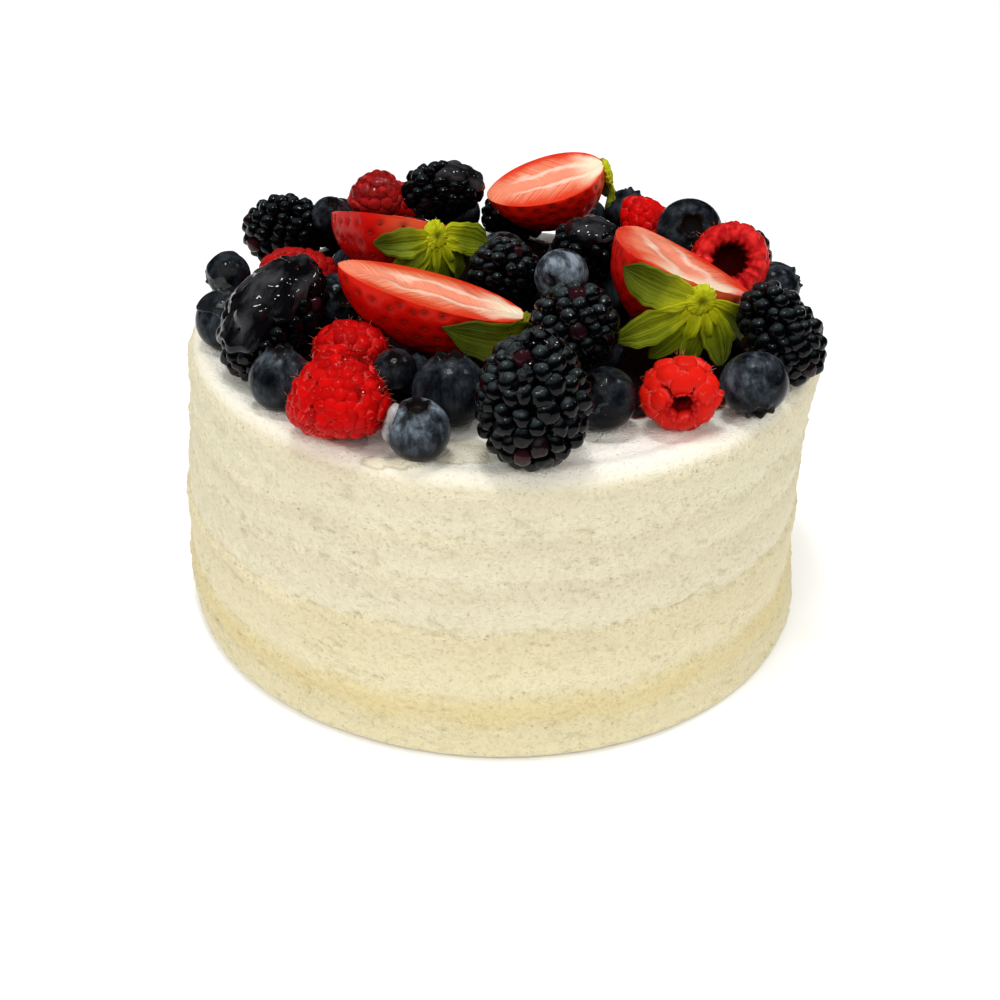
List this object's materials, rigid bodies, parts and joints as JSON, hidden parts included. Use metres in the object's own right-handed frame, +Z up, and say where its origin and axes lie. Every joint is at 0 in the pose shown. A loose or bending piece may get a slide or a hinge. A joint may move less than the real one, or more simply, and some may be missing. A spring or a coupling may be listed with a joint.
{
  "type": "chantilly cake",
  "caption": "Round cake iced in whipped cream, heaped with glazed brambles, raspberries, blueberries and leafy strawberry halves.",
  "frame": {"origin": "centre of the cake's flat base", "axes": "+Z up, out of the top of the cake; -Y is the front, the side that faces the camera in the picture; +X is to the right seen from the front"},
  "size_m": [0.1724, 0.172, 0.1047],
  "materials": {
    "cream": "satin",
    "bramble": "gloss",
    "raspberry": "satin",
    "blueberry": "satin",
    "strawberry": "gloss",
    "leaf": "satin"
  },
  "bodies": {
    "root": {"blueberry_1": "blueberry", "blueberry_2": "blueberry", "blueberry_3": "blueberry", "blueberry_4": "blueberry", "blueberry_5": "blueberry", "blueberry_6": "blueberry", "blueberry_7": "blueberry", "blueberry_8": "blueberry", "blueberry_9": "blueberry", "blueberry_10": "blueberry", "blueberry_11": "blueberry", "blueberry_12": "blueberry", "blueberry_13": "blueberry", "blueberry_14": "blueberry", "blueberry_15": "blueberry", "blueberry_16": "blueberry", "blueberry_17": "blueberry", "blueberry_18": "blueberry", "blueberry_19": "blueberry", "blueberry_20": "blueberry", "blueberry_21": "blueberry", "blueberry_22": "blueberry", "blueberry_23": "blueberry", "blueberry_24": "blueberry", "blueberry_25": "blueberry", "blueberry_26": "blueberry", "blueberry_27": "blueberry", "blueberry_28": "blueberry", "blueberry_29": "blueberry", "blueberry_30": "blueberry", "blueberry_31": "blueberry", "blueberry_32": "blueberry", "bramble_1": "bramble", "bramble_2": "bramble", "bramble_3": "bramble", "bramble_4": "bramble", "bramble_5": "bramble", "bramble_6": "bramble", "bramble_7": "bramble", "bramble_8": "bramble", "bramble_9": "bramble", "bramble_10": "bramble", "cake": "cream", "calyx_1": "leaf", "calyx_2": "leaf", "calyx_3": "leaf", "calyx_4": "leaf", "raspberry_1": "raspberry", "raspberry_2": "raspberry", "raspberry_3": "raspberry", "raspberry_4": "raspberry", "raspberry_5": "raspberry", "raspberry_6": "raspberry", "raspberry_7": "raspberry", "raspberry_8": "raspberry", "raspberry_9": "raspberry", "strawberry_1": "strawberry", "strawberry_2": "strawberry", "strawberry_3": "strawberry", "strawberry_4": "strawberry"}
  },
  "joints": []
}
